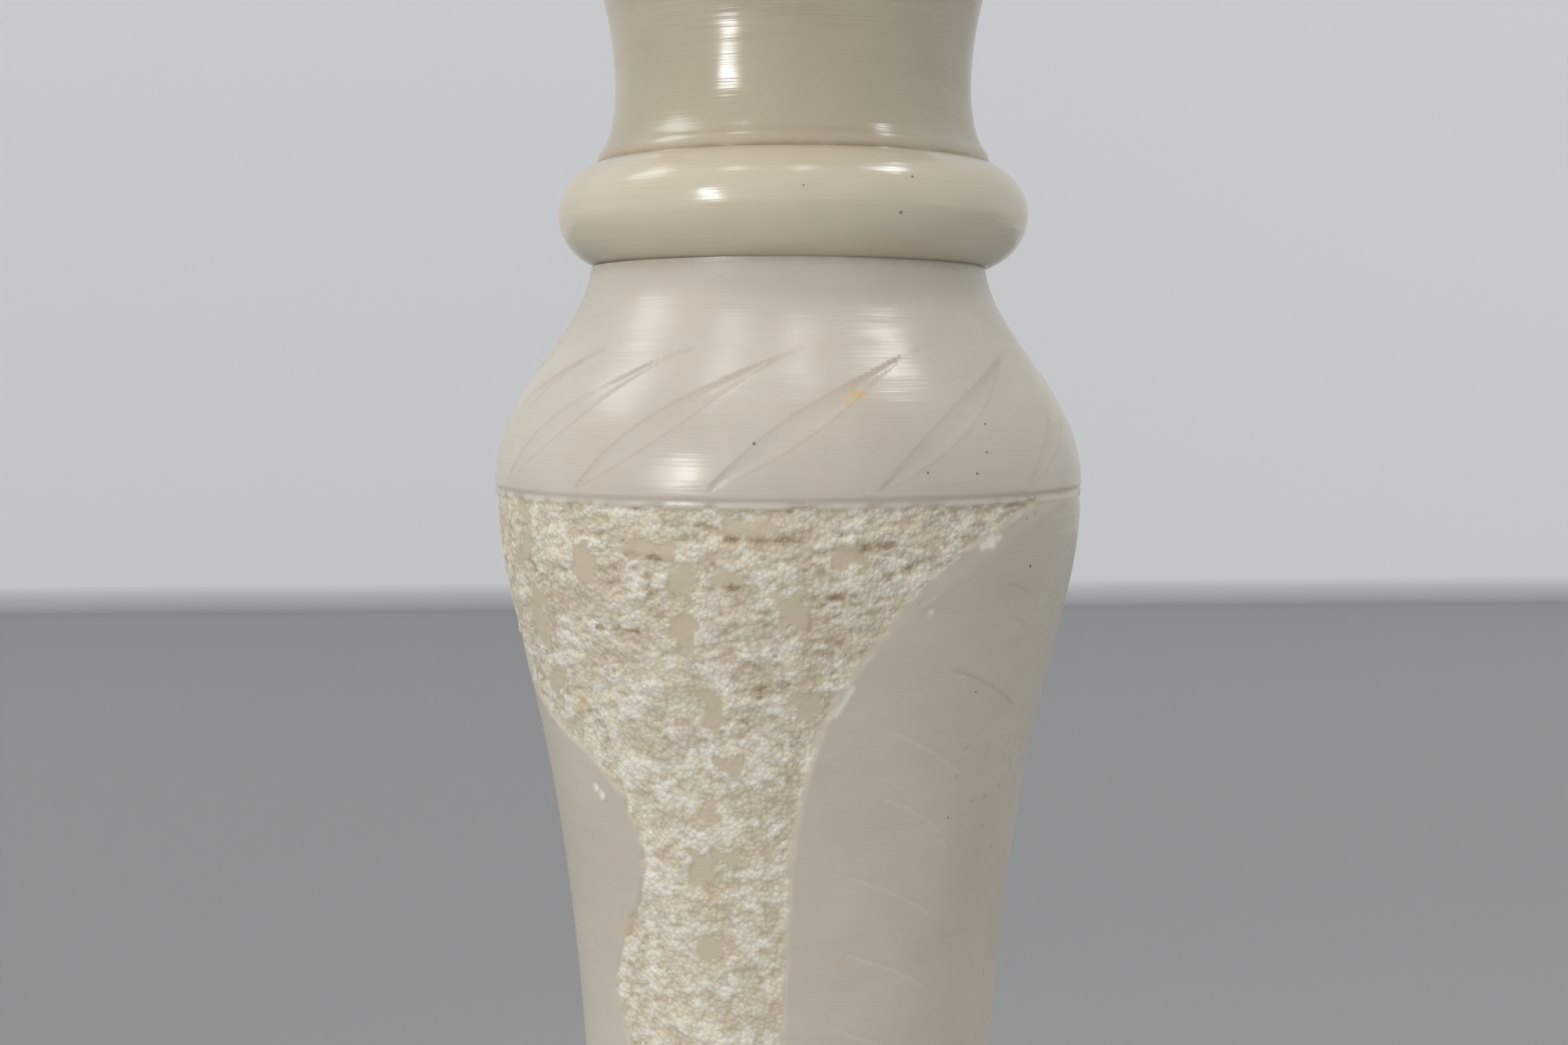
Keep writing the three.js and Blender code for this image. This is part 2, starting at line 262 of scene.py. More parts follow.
def chips_and_pits():
    """Chips on the leaves' edges, and small pits on the front leaf, as an angle, a height and a radius."""
    rng = np.random.default_rng(7)
    chips = [
        (38.5, -14.2, 2.5), (36.7, -15.2, 1.8), (40.3, -13.0, 1.4), (26.4, -35.0, 1.1),
        (23.9, -31.8, 0.6), (48.0, -8.6, 0.8), (50.6, -7.1, 0.8), (-48.4, -95.2, 1.6),
        (-46.6, -97.4, 1.7), (-45.4, -99.6, 0.9), (61.0, -92.0, 0.8), (66.0, -84.0, 0.7),
    ]
    pits = [
        (46.0, -99.6), (50.7, -99.4), (41.2, -80.9), (66.9, -105.3), (59.7, -89.4), (56.5, -97.3),
        (39.7, -89.9), (70.5, -92.4), (51.8, -109.7), (51.1, -117.5), (57.5, -118.0), (58.8, -25.4),
        (60.6, -34.7), (63.0, -124.0),
    ]
    chips += [(angle, height, rng.uniform(0.55, 0.9)) for angle, height in pits]
    return [(math.radians(angle), height * MM, size * MM) for angle, height, size in chips]


# Small marks, with their depths and half widths
VEIN_DEPTH = 0.16 * MM
VEIN_REACH = 0.75 * MM
MIDRIB_DEPTH = 0.1 * MM
MIDRIB_REACH = 0.9 * MM
GOUGE_LINE_REACH = 0.4 * MM  # line of soil and painted shade along a gouge's edges
GROOVE_LINE_REACH = 0.45 * MM  # whitened line along a groove's lower edge
CHIP_DEPTH = 0.6 * MM
PIT_DEPTH = 0.35 * MM
CRACK_DEPTH = 0.4 * MM
CRACK_REACH = 0.7 * MM
EDGE_LINE_REACH = 0.7 * MM  # whitened line along a leaf's worn edges, partly a painted highlight
MIDRIB_START = math.radians(2)
MIDRIB_DRIFT = math.radians(10)
MIDRIB_FALL = 110 * MM  # depth over which the midrib drifts
CHIP_SIZE = 0.95 * MM  # marks larger than this are white chips, smaller ones are soiled pits
SCRAPES_AND_HIGHLIGHT = [  # white scrapes, the first a painted highlight along an edge: start, end, half width and whiteness
    ((12.3, -58.0), (9.3, -66.5), 0.9, 0.9), ((69.0, -55.0), (69.2, -62.0), 0.7, 0.5),
    ((41.6, -10.8), (46.6, -6.6), 0.35, 0.35), ((40.0, -9.6), (43.6, -7.2), 0.3, 0.3),
]
CRACKS = [  # soiled cracks that lie across the rough ground
    ((-10.8, -12.1), (1.9, -12.7)), ((-31.0, -17.5), (-20.9, -18.9)), ((-13.5, -27.0), (-8.0, -26.8)),
    ((-18.4, -7.8), (-12.6, -8.5)), ((12.6, -15.0), (19.6, -13.9)), ((4.7, -29.9), (11.6, -29.6)),
    ((-8.4, -58.3), (0.6, -56.2)), ((-39.0, -41.4), (-29.4, -41.7)), ((15.7, -25.0), (24.3, -19.4)),
]
FLATS = [  # smooth split places in it: the middle, and half the width and height in millimetres
    ((-40.1, -21.8), (4.5, 7.0)), ((-25.3, -15.9), (9.0, 2.8)), ((-19.2, -25.2), (4.0, 5.0)),
    ((-19.6, -42.2), (4.0, 7.0)), ((-6.4, -9.2), (8.0, 2.5)), ((-10.5, -24.2), (5.0, 2.2)),
    ((0.8, -33.7), (4.5, 5.0)), ((10.0, -18.0), (6.0, 3.0)), ((-15.0, -65.0), (4.0, 6.0)),
    ((3.7, -64.4), (4.5, 5.0)), ((-20.5, -117.0), (4.0, 6.0)), ((-19.2, -143.2), (4.0, 4.0)),
    ((-12.2, -83.0), (5.0, 3.0)), ((-17.7, -99.0), (3.5, 3.0)), ((-13.5, -113.0), (5.5, 2.4)),
    ((15.5, -52.0), (3.5, 4.0)),
]
FLATS_TURN = math.radians(52)  # beyond this the flats are strewn
FLAT_FADE = 0.15  # share of a flat's half size over which it fades out
VEINS = repeated_veins()
SPOTS = chips_and_pits()


# Fields of the carving, worked out over whole arrays of angles and heights

def smooth(value, low, high):
    """0 below low, 1 above high and a soft step between."""
    share = np.clip((value - low) / (high - low), 0, 1)
    return share * share * (3 - 2 * share)


def plain_reach(depth):
    """Angle from a leaf's midrib to its plain edge."""
    return LEAF_REACH * (1 - np.exp(-depth / PLAIN_RISE))


def lobed_reach(depth):
    """Angle from a leaf's midrib to its lobed edge, which swings out below the slim tip."""
    tip = TIP_REACH * (1 - np.exp(-depth / TIP_RISE))
    swung = 1 - np.exp(-((depth / LOBE_START) ** LOBE_SHARPNESS))
    lobes = LOBE_SWING * np.cos(2 * math.pi * (depth - LOBE_DEPTH) / LOBE_PITCH)
    return tip + (LEAF_REACH + lobes - tip) * swung


def edge_distance(angle_inside, reach, depth, radius):
    """Distance from a leaf's edge, square to it, that grows into the ground. Also the edge's slope."""
    nudge = 0.1 * MM
    slope = radius * (reach(depth + nudge) - reach(depth)) / nudge
    return (angle_inside - reach(depth)) * radius / np.sqrt(1 + slope**2), slope


class Carving:
    """All that is carved on the shaft's face, for points at an angle and a height above the groove."""

    def __init__(self, angle, height):
        self.angle = angle
        self.height = height
        self.radius = np.interp(height, FACE_HEIGHTS, FACE_RADII)
        self.depth = np.maximum(-height, 0)
        self.measure_ground()
        self.measure_gouges()
        self.measure_strokes()
        self.measure_spots()
        self.measure_flats()

    def measure_ground(self):
        """Signed distances to the leaves' edges. They are above 0 in the rough ground."""
        inside = (self.angle - LEAF_MIDRIB) % math.pi
        self.lobed, self.lobed_slope = edge_distance(inside, lobed_reach, self.depth, self.radius)
        self.plain, self.plain_slope = edge_distance(math.pi - inside, plain_reach, self.depth, self.radius)
        self.edge = np.minimum(self.lobed, self.plain)
        below_rim = self.depth - GROOVE_WIDTH - RIM_HEIGHT
        above_rim = BODY_HEIGHT - FOOT_BAND - RIM_HEIGHT - self.depth
        self.rim = np.minimum(below_rim, above_rim)
        narrowing = smooth(self.depth, *BEVEL_NARROWS)
        plain_bevel = WIDE_BEVEL + (SLIM_BEVEL - WIDE_BEVEL) * narrowing
        self.bevel = np.where(self.plain < self.lobed, plain_bevel, LOBED_BEVEL)

    def measure_gouges(self):
        """Where each point lies in its nearest gouge: along it, across it, and the half width there."""
        self.gouge_share = np.full(self.angle.shape, 9.0)
        self.gouge_across = np.full(self.angle.shape, 1.0)
        self.gouge_along = np.zeros(self.angle.shape)
        self.gouge_half = np.zeros(self.angle.shape)
        self.gouge_tilt = np.zeros(self.angle.shape)
        drop = GOUGE_TOP - GOUGE_BOTTOM
        run = GOUGE_SWEEP * BELLY_RADIUS
        for gouge in range(GOUGE_COUNT):
            turn = gouge * 2 * math.pi / GOUGE_COUNT
            start = GOUGE_START + turn - GOUGE_UNEVEN * math.cos(turn - GOUGE_LAG)
            back = (start - self.angle + math.pi / 2) % (2 * math.pi) - math.pi / 2
            along = np.clip(back / GOUGE_SWEEP, 0, 1)
            tilt = np.arctan2(drop * GOUGE_BEND * np.maximum(along, 0.02) ** (GOUGE_BEND - 1), run)
            above = self.height - GOUGE_TOP + drop * along**GOUGE_BEND
            across = above * np.cos(tilt)
            foot = np.clip(along - above * np.sin(tilt) * np.cos(tilt) / run, 0, 1)
            fullness = np.sin(math.pi * foot**GOUGE_LEAN)
            half = np.maximum(GOUGE_WIDTH / 2 * fullness, GOUGE_TIP * (foot < 0.6))
            half = np.where((back > 0) & (back < GOUGE_SWEEP), half, 0)
            share = np.abs(across) / np.maximum(half, 0.05 * MM)
            nearer = share < self.gouge_share
            self.gouge_share = np.where(nearer, share, self.gouge_share)
            self.gouge_across = np.where(nearer, across, self.gouge_across)
            self.gouge_along = np.where(nearer, foot, self.gouge_along)
            self.gouge_half = np.where(nearer, half, self.gouge_half)
            self.gouge_tilt = np.where(nearer, tilt, self.gouge_tilt)
        self.gouge_margin = np.abs(self.gouge_across) - self.gouge_half

    def measure_strokes(self):
        """Distance to the nearest incised vein and midrib."""
        self.stroke = np.full(self.angle.shape, 1.0)
        self.stroke_soil = np.zeros(self.angle.shape)
        for start, end, sag, soil_and_shade in VEINS:
            distance = self.distance_to_stroke(start, end, sag)
            self.stroke_soil = np.where(distance < self.stroke, soil_and_shade, self.stroke_soil)
            self.stroke = np.minimum(self.stroke, distance)
        inside = (self.angle - LEAF_MIDRIB + math.pi / 2) % math.pi - math.pi / 2
        drift = MIDRIB_START - MIDRIB_DRIFT * (1 - np.exp(-self.depth / MIDRIB_FALL))
        self.midrib = np.where(self.rim > 0, np.abs(inside - drift) * self.radius, 1.0)

    def measure_spots(self):
        """Distance to the nearest chip or pit, as a share of its radius, and that radius."""
        self.spot = np.full(self.angle.shape, 9.0)
        self.spot_size = np.full(self.angle.shape, 1.0)
        for angle, height, size in SPOTS:
            distance = np.hypot(self.turn_from(angle) * self.radius, self.height - height) / size
            self.spot_size = np.where(distance < self.spot, size, self.spot_size)
            self.spot = np.minimum(self.spot, distance)

    def measure_flats(self):
        """How surely each point lies in one of the smooth split places."""
        self.flat = np.zeros(self.angle.shape)
        around = self.angle * BELLY_RADIUS
        sway_across = 1.3 * MM * np.sin((self.height - around) / (2.1 * MM))
        sway_across += 0.7 * MM * np.sin(self.height / MM)
        sway_up = 1.1 * MM * np.sin((around + 0.6 * self.height) / (1.7 * MM))
        for (angle, height), (half_width, half_height) in FLATS:
            across = self.turn_from(math.radians(angle)) * self.radius + sway_across
            up = self.height - height * MM + sway_up
            share = np.maximum(np.abs(across) / (half_width * MM), np.abs(up) / (half_height * MM))
            self.flat = np.maximum(self.flat, np.clip((1 - share) / FLAT_FADE, 0, 1))

    def turn_from(self, angle):
        """The shorter way round from an angle to each point's."""
        return (self.angle - angle + math.pi) % (2 * math.pi) - math.pi

    def distance_to_stroke(self, start, end, sag):
        """Distance to a stroke between two places, each an angle and a height. It bows to its upper side."""
        x = self.turn_from(start[0]) * self.radius
        y = self.height - start[1]
        run = (end[0] - start[0]) * np.interp(start[1], FACE_HEIGHTS, FACE_RADII)
        rise = end[1] - start[1]
        length = math.hypot(run, rise)
        along = (x * run + y * rise) / length**2
        inside = np.clip(along, 0, 1)
        across = (y * run - x * rise) / length - 4 * sag * inside * (1 - inside)
        return np.hypot((along - inside) * length, across)

    def fineness(self):
        """Lattice steps that each point asks for: 1 is finest, SPLITS is coarsest."""
        turn = np.abs(self.turn_from(0))
        shown = (self.depth < PHOTO_DEPTH) & (turn < PHOTO_TURN)
        ground = (self.edge > -1.2 * MM) & (self.rim > -1 * MM)
        groove = np.abs(self.height + GROOVE_WIDTH / 2) < 2.2 * MM
        gouge = self.gouge_margin < 1 * MM
        mark = (self.stroke < 1.4 * MM) | (self.spot < 1 + 1 * MM / self.spot_size)
        steps = np.full(self.angle.shape, SPLITS)
        steps[self.height > -1.5 * MM] = 4
        steps[ground | (self.midrib < 1.5 * MM)] = 4
        steps[np.abs(self.height + BODY_HEIGHT - FOOT_BAND) < 3 * MM] = 4
        steps[groove | gouge | (ground & (self.depth < 1.4 * PHOTO_DEPTH)) | mark] = 2
        steps[(ground | groove | (gouge & (turn < 0.8 * PHOTO_TURN)) | mark) & shown] = 1
        return steps


# Relief of single points, with the size of each noise that shapes it

SWELL_SIZE = 12 * MM
PATCH_SIZE = 9 * MM
BREAK_SIZE = 4.2 * MM
FINE_SIZE = 1.3 * MM
CRACKED_SIZE = 10 * MM
CREASED_SIZE = 7 * MM
TEAR_SIZE = 4.5 * MM  # the ground's border is torn at this size and the next
SMALL_TEAR_SIZE = 1.9 * MM
LEDGE_WIDTH = 15 * MM
LEDGE_HEIGHT = 3.8 * MM
FUNNEL_FADE = 20 * MM
LOBES_REACH = 45 * MM  # as far from a lobed edge the ground is rougher
STREWN_SHARE = 0.2  # share of the cells that are flat
STREWN_BELOW = 0.06  # the same below the funnel


def limited(value):
    return min(1.0, max(0.0, value))


def flat_here(angle, depth):
    """How surely a point lies in a smooth split flat, that flat's own random number, and the place in it."""
    across = angle * BELLY_RADIUS / FLAT_WIDTH
    up = depth / FLAT_HEIGHT
    wobble = 0.3 * noise.noise(Vector((across * 2.1, up * 2.1, 5.0)))
    place = Vector((across + wobble, up + wobble, 0.0))
    distances, centres = noise.voronoi(place, distance_metric="CHEBYCHEV")
    own = 0.5 + 0.5 * noise.cell(centres[0] * 7.3 + Vector((0.5, 0.5, 0.5)))
    wanted = STREWN_SHARE if depth < FUNNEL_DEPTH else STREWN_BELOW
    sure = limited((distances[1] - distances[0]) / 0.1) if own < wanted else 0.0
    return sure, own / wanted, place - centres[0]


def rough_ground(place, angle, depth, from_lobes, flat_place):
    """Height, whiteness, soil with painted shade, and crushed share of the pointed ground at one place."""
    funnel = 1 - limited((depth - FUNNEL_DEPTH) / FUNNEL_FADE + 0.5)
    coarse = noise.fractal(place / SWELL_SIZE, 0.9, 2.1, 3)
    patch = 0.6 + 1.3 * noise.noise(place / PATCH_SIZE + Vector((9, 3, 1)))
    patch = limited(patch + 0.5 * (1 - limited(from_lobes / LOBES_REACH)))
    lying = Vector((place.x, place.y, (1.9 - 0.6 * (1 - funnel)) * place.z))
    grain_distance = noise.voronoi(lying / GRAIN_SIZE)[0][0]
    dome = math.sqrt(max(0.0, 1 - (1.15 * grain_distance) ** 2))
    fine = noise.noise(lying / FINE_SIZE)
    broken = noise.noise(lying / BREAK_SIZE)
    across = angle * BELLY_RADIUS
    ledge = noise.noise(Vector((across / LEDGE_WIDTH, depth / LEDGE_HEIGHT, 2.0)))
    cracked = limited(2.5 * noise.noise(place / CRACKED_SIZE) + 0.35)
    crack = max(0.0, 1 - abs(ledge) / 0.08) * cracked * funnel
    height = -GROUND_DEPTH + MM * (
        0.45 * coarse + 0.6 * funnel * ledge + 0.6 * (dome - 0.62) * (0.4 + 0.6 * patch)
        + (0.34 + 0.16 * funnel) * broken + 0.16 * fine - 0.4 * crack
    )
    white = limited(0.5 * dome + 0.9 * broken + 0.3 * coarse + 0.25) * (0.3 + 0.7 * patch)
    # Darkening in the creases between the grains and along the cracks under the ledges is painted shade as
    # well as soil.
    crease = limited(0.5 - 1.6 * dome) * limited(1.8 * noise.noise(place / CREASED_SIZE) + 0.3)
    soil_and_shade = 0.75 * crack + (0.22 + 0.1 * funnel) * crease
    sure, own, lean = flat_place or flat_here(angle, depth)
    tilt = 0.5 * lean.y * (own - 0.5) + 0.5 * lean.x * (own - 0.4)
    flat = -GROUND_DEPTH + MM * (0.1 - 0.4 * own + tilt)
    height += (flat - height) * sure
    return height, white * (1 - 0.9 * sure), soil_and_shade * (1 - 0.8 * sure), 1 - 0.5 * sure


def in_radians(place):
    """An angle in degrees and a height in millimetres, in radians and metres."""
    return math.radians(place[0]), place[1] * MM


class Relief:
    """How far each point of the shaft stands out, and its bruise, roughness and soil, which also carry
    painted highlights and painted shade.
    """

    def __init__(self, carving):
        self.carving = carving
        count = len(carving.angle)
        self.out = np.zeros(count)
        self.bruise_and_highlight = np.zeros(count)
        self.rough = np.zeros(count)
        self.soil_and_shade = np.zeros(count)
        self.cut_gouges()
        self.cut_grooves()
        self.cut_veins()
        self.whiten_scrapes_and_highlight()
        self.chip()
        self.point_ground()
        self.crack()
        self.bruise_and_highlight = np.clip(self.bruise_and_highlight, 0, 1)
        self.soil_and_shade = np.clip(self.soil_and_shade, 0, 1)

    def cut_gouges(self):
        """Round-bottomed gouges with a line of soil and painted shade along each edge. Their narrow ends are
        deeper.
        """
        half = self.carving.gouge_half
        inside = (self.carving.gouge_share < 1) * smooth(half, 0, 0.7 * MM)
        narrow = 1 - smooth(self.carving.gouge_along, 0.25, 0.6)
        hollow_share = 1 - np.minimum(self.carving.gouge_share, 1) ** 2
        self.out -= GOUGE_DEPTH * (1 + 0.3 * narrow) * hollow_share * inside
        line = np.exp(-((self.carving.gouge_margin / GOUGE_LINE_REACH) ** 2))
        line *= smooth(half, 0.1 * MM, 0.5 * MM)
        self.soil_and_shade += 0.14 * narrow * inside + 0.26 * line

    def cut_grooves(self):
        """The groove under the shoulder and the one above the foot band."""
        for groove_top in (0.0, FOOT_BAND - BODY_HEIGHT):
            share = (groove_top - self.carving.height) / GROOVE_WIDTH
            sunk = np.clip(np.minimum(share / GROOVE_FLOOR, (1 - share) / (1 - GROOVE_FLOOR)), 0, 1)
            self.out -= GROOVE_DEPTH * sunk
            self.soil_and_shade += 0.1 * sunk**3
            from_lower_edge = (share - 1) * GROOVE_WIDTH
            self.bruise_and_highlight += 0.4 * np.exp(-((from_lower_edge / GROOVE_LINE_REACH) ** 2))

    def cut_veins(self):
        """Incised strokes and midribs of the leaves. Clean strokes are whitened."""
        stroke = np.clip(1 - self.carving.stroke / VEIN_REACH, 0, 1) * (self.carving.edge < 0)
        self.out -= VEIN_DEPTH * stroke
        self.soil_and_shade += stroke * self.carving.stroke_soil
        self.bruise_and_highlight += 0.45 * stroke * (self.carving.stroke_soil < 0.1)
        midrib = np.clip(1 - self.carving.midrib / MIDRIB_REACH, 0, 1)
        self.out -= MIDRIB_DEPTH * midrib
        self.bruise_and_highlight += 0.08 * midrib

    def whiten_scrapes_and_highlight(self):
        # White scrapes, and a painted highlight along a leaf's edge.
        for start, end, width, whiteness in SCRAPES_AND_HIGHLIGHT:
            away = self.carving.distance_to_stroke(in_radians(start), in_radians(end), 0)
            self.bruise_and_highlight += whiteness * np.exp(-((away / (width * MM)) ** 2))

    def chip(self):
        """White chips, and smaller pits that hold soil."""
        is_chip = self.carving.spot_size > CHIP_SIZE
        sunk = np.clip(1.1 - self.carving.spot**2, 0, 1)
        self.out -= np.where(is_chip, CHIP_DEPTH, PIT_DEPTH) * sunk
        self.bruise_and_highlight += np.where(is_chip, 1.0, 0.1) * np.sqrt(sunk)
        self.soil_and_shade += np.where(is_chip, 0.0, 0.4) * sunk

    def point_ground(self):
        """Everything from a leaf's edge on: first its bevel, then the rough ground."""
        carving = self.carving
        in_front = np.abs(carving.turn_from(0)) < FLATS_TURN
        carved = (carving.edge > -0.6 * MM) & (carving.rim > -0.5 * MM)
        for i in np.nonzero(carved)[0]:
            angle = float((carving.angle[i] - LEAF_MIDRIB) % (2 * math.pi))
            depth = float(carving.depth[i])
            radius = float(carving.radius[i])
            edge = float(carving.edge[i])
            rim = float(carving.rim[i])
            bevel = float(carving.bevel[i])
            place = Vector((radius * math.sin(angle), radius * math.cos(angle), depth))
            ragged = MM * (1.6 * noise.noise(place / TEAR_SIZE) + 0.8 * noise.noise(place / SMALL_TEAR_SIZE))
            into_edge = (edge + ragged - bevel) / (1.1 * MM) + 0.4
            into_rim = (rim + 0.5 * ragged) / (0.9 * MM) + 0.5
            into = limited(min(into_edge, into_rim))
            slope = -BEVEL_DEPTH * limited(edge / bevel) * limited(rim / (0.8 * MM) + 0.2)
            # The whitened line along the worn edge is partly a painted highlight.
            on_edge = math.exp(-((edge / EDGE_LINE_REACH) ** 2))
            worn_and_highlit = on_edge * limited(1.6 * noise.noise(place / PATCH_SIZE) + 0.15)
            measured = (float(carving.flat[i]), 0.5, Vector()) if in_front[i] else None
            from_lobes = float(carving.lobed[i])
            height, white, dirt_and_shade, crushed = rough_ground(place, angle, depth, from_lobes, measured)
            self.out[i] += slope * (1 - into) + height * into
            self.rough[i] = into * crushed
            self.bruise_and_highlight[i] = max(self.bruise_and_highlight[i] * (1 - into), white * into, 0.3 * worn_and_highlit)
            self.soil_and_shade[i] = self.soil_and_shade[i] * (1 - into) + dirt_and_shade * into

    def crack(self):
        """Soiled cracks, only where the ground is rough."""
        sway = 0.5 * MM * np.sin(self.carving.angle * BELLY_RADIUS / (1.3 * MM))
        for start, end in CRACKS:
            away = self.carving.distance_to_stroke(in_radians(start), in_radians(end), 0) + sway
            sunk = np.exp(-((away / CRACK_REACH) ** 2)) * self.rough
            self.out -= CRACK_DEPTH * sunk
            self.soil_and_shade += 1.1 * sunk


# Meshes

def snapped_rows(low, high, count, kept):
    """Evenly spaced heights, with the nearest one moved to each height that is kept."""
    rows = np.linspace(low, high, count)
    for height in kept:
        rows[np.argmin(np.abs(rows - height))] = height
    return rows


def lattice_steps(wanted):
    """Each base cell's step: the smallest that its points ask for, at most twice its neighbours'."""
    steps = np.full((BASE_ROWS, BASE_COLUMNS), SPLITS)
    for up in range(SPLITS + 1):
        for across in range(SPLITS + 1):
            rows = wanted[up : up + SPLITS * (BASE_ROWS - 1) + 1 : SPLITS]
            steps = np.minimum(steps, np.roll(rows, -across, axis=1)[:, ::SPLITS])
    for _ in range(3):
        beside = np.minimum(np.roll(steps, 1, axis=1), np.roll(steps, -1, axis=1))
        above = np.vstack((steps[1:], steps[-1:]))
        below = np.vstack((steps[:1], steps[:-1]))
        steps = np.minimum(steps, 2 * np.minimum(beside, np.minimum(above, below)))
    return steps


def used_points(steps):
    """Marks each lattice point that is a corner of a square."""
    used = np.zeros((SPLITS * BASE_ROWS + 1, SPLITS * BASE_COLUMNS), bool)
    for step in (1, 2, 4, SPLITS):
        row, column = np.nonzero(steps == step)
        for up in range(0, SPLITS + 1, step):
            for across in range(0, SPLITS + 1, step):
                used[SPLITS * row + up, (SPLITS * column + across) % used.shape[1]] = True
    return used


def lattice_faces(steps, used, index):
    """The squares of all cells. A side that a finer neighbour has split takes its points in."""
    columns = used.shape[1]
    faces = []
    for (cell_row, cell_column), step in np.ndenumerate(steps):
        for up in range(0, SPLITS, step):
            for across in range(0, SPLITS, step):
                row = SPLITS * cell_row + up
                column = SPLITS * cell_column + across
                walk = [(row, column + k) for k in range(step)]
                walk += [(row + k, column + step) for k in range(step)]
                walk += [(row + step, column + step - k) for k in range(step)]
                walk += [(row + step - k, column) for k in range(step)]
                wrapped = [(r, c % columns) for r, c in walk]
                faces.append([int(index[point]) for point in wrapped if used[point]])
    return faces


def fine_points(steps):
    """Marks each lattice point that has only finest cells round it."""
    finest = np.kron(steps == 1, np.ones((SPLITS, SPLITS))) > 0
    finest = finest & np.roll(finest, 1, axis=1)
    inner = finest[1:] & finest[:-1]
    end_row = np.zeros((1, finest.shape[1]), bool)
    return np.vstack((end_row, inner, end_row))


def snapped(angle, height):
    """Points that lie close to a leaf's or a gouge's edge, moved onto it, so that the edge runs clean."""
    carving = Carving(angle, height)
    cell = 0.5 * (BODY_HEIGHT + SHOULDER_HEIGHT) / (SPLITS * BASE_ROWS)
    lobed_edge = (carving.lobed, carving.lobed_slope, 1)
    plain_edge = (carving.plain, carving.plain_slope, -1)
    for distance, slope, side in (lobed_edge, plain_edge):
        near = (np.abs(distance) < cell) & (carving.rim > 0)
        length = np.sqrt(1 + slope**2)
        angle = angle - np.where(near, side * distance / length / carving.radius, 0)
        height = height - np.where(near, distance * slope / length, 0)
    near = np.abs(carving.gouge_margin) < cell
    push = np.where(near, -carving.gouge_margin * np.sign(carving.gouge_across), 0)
    angle = angle - push * np.sin(carving.gouge_tilt) / carving.radius
    height = height + push * np.cos(carving.gouge_tilt)
    return angle, height


def new_object(name, points, faces, values, materials, sharp):
    """A smooth-shaded mesh object with its vertex values and materials."""
    mesh = bpy.data.meshes.new(name)
    mesh.from_pydata([tuple(point) for point in points], [], faces)
    for value_name, numbers in values.items():
        attribute = mesh.attributes.new(value_name, "FLOAT", "POINT")
        attribute.data.foreach_set("value", numbers.astype(np.float32))
    for material in materials:
        mesh.materials.append(material)
    mesh.shade_smooth()
    mesh.set_sharp_from_angle(angle=math.radians(sharp))
    piece = bpy.data.objects.new(name, mesh)
    bpy.context.scene.collection.objects.link(piece)
    return piece


JOINT_SOIL = 0.4
CREASE_SOIL = 0.9
JOINT_SOIL_REACH = 0.5 * MM
TURNED_COLUMNS = 200


def carved_shaft():
    """The shaft's mesh: a lattice round the turned face, fine where it is carved."""
    kept = [0.0, -GROOVE_FLOOR * GROOVE_WIDTH, -GROOVE_WIDTH]
    kept += [height + FOOT_BAND - BODY_HEIGHT for height in kept]
    rows = snapped_rows(-BODY_HEIGHT, SHOULDER_HEIGHT, SPLITS * BASE_ROWS + 1, kept)
    turns = np.arange(SPLITS * BASE_COLUMNS) * 2 * math.pi / (SPLITS * BASE_COLUMNS)
    all_turns, all_rows = np.meshgrid(turns, rows)
    steps = lattice_steps(Carving(all_turns, all_rows).fineness())
    used = used_points(steps)
    index = np.cumsum(used).reshape(used.shape) - 1
    faces = lattice_faces(steps, used, index)
    faces.append([int(i) for i in index[0][used[0]]][::-1])
    faces.append([int(i) for i in index[-1][used[-1]]])

    angle, height = all_turns[used], all_rows[used]
    moved_angle, moved_height = snapped(angle, height)
    free = fine_points(steps)[used]
    angle = np.where(free, moved_angle, angle)
    height = np.where(free, moved_height, height)

    relief = Relief(Carving(angle, height))
    radius = relief.carving.radius + relief.out
    points = np.column_stack((radius * np.sin(angle), -radius * np.cos(angle), height + GROOVE_HEIGHT))
    joint = np.minimum(SHOULDER_HEIGHT - height, height + BODY_HEIGHT)
    soil_and_shade = np.maximum(relief.soil_and_shade, JOINT_SOIL * np.exp(-joint / JOINT_SOIL_REACH))
    values = {"bruise_and_highlight": relief.bruise_and_highlight, "rough": relief.rough, "soil_and_shade": soil_and_shade}
    return new_object("shaft_carved", points, faces, values, [SHAFT_FINISH], 60)


def turned_block(name, node, outline, material, soiled, ring=(0, 0)):
    """A turned block in its node's box, with soil at some heights and a ring that is a little paler."""
    low, high = (Vector(corner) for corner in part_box(node))
    centre = (low + high) / 2
    radius, height = (np.array(values) for values in zip(*outline))
    if low.z > BED:
        height[0] -= BED
    turns = np.arange(TURNED_COLUMNS) * 2 * math.pi / TURNED_COLUMNS
    rows = len(outline)
    grid_radius = np.repeat(radius, TURNED_COLUMNS)
    grid_height = np.repeat(height, TURNED_COLUMNS)
    grid_turn = np.tile(turns, rows)
    points = np.column_stack((
        centre.x + grid_radius * np.sin(grid_turn),
        centre.y - grid_radius * np.cos(grid_turn),
        low.z + grid_height,
    ))
    faces = []
    for row in range(rows - 1):
        below = row * TURNED_COLUMNS
        above = below + TURNED_COLUMNS
        for column in range(TURNED_COLUMNS):
            after = (column + 1) % TURNED_COLUMNS
            faces.append((below + column, below + after, above + after, above + column))
    faces.append(tuple(range(TURNED_COLUMNS))[::-1])
    faces.append(tuple(range((rows - 1) * TURNED_COLUMNS, rows * TURNED_COLUMNS)))
    soil_and_shade = np.zeros(len(points))
    for place, strength in soiled.items():
        away = np.abs(grid_height - place)
        soil_and_shade = np.maximum(soil_and_shade, strength * np.exp(-away / JOINT_SOIL_REACH))
    pale = (grid_height > ring[0]) & (grid_height < ring[1])
    return new_object(name, points, faces, {"pale": pale, "soil_and_shade": soil_and_shade}, [material], 24)


# Finishes

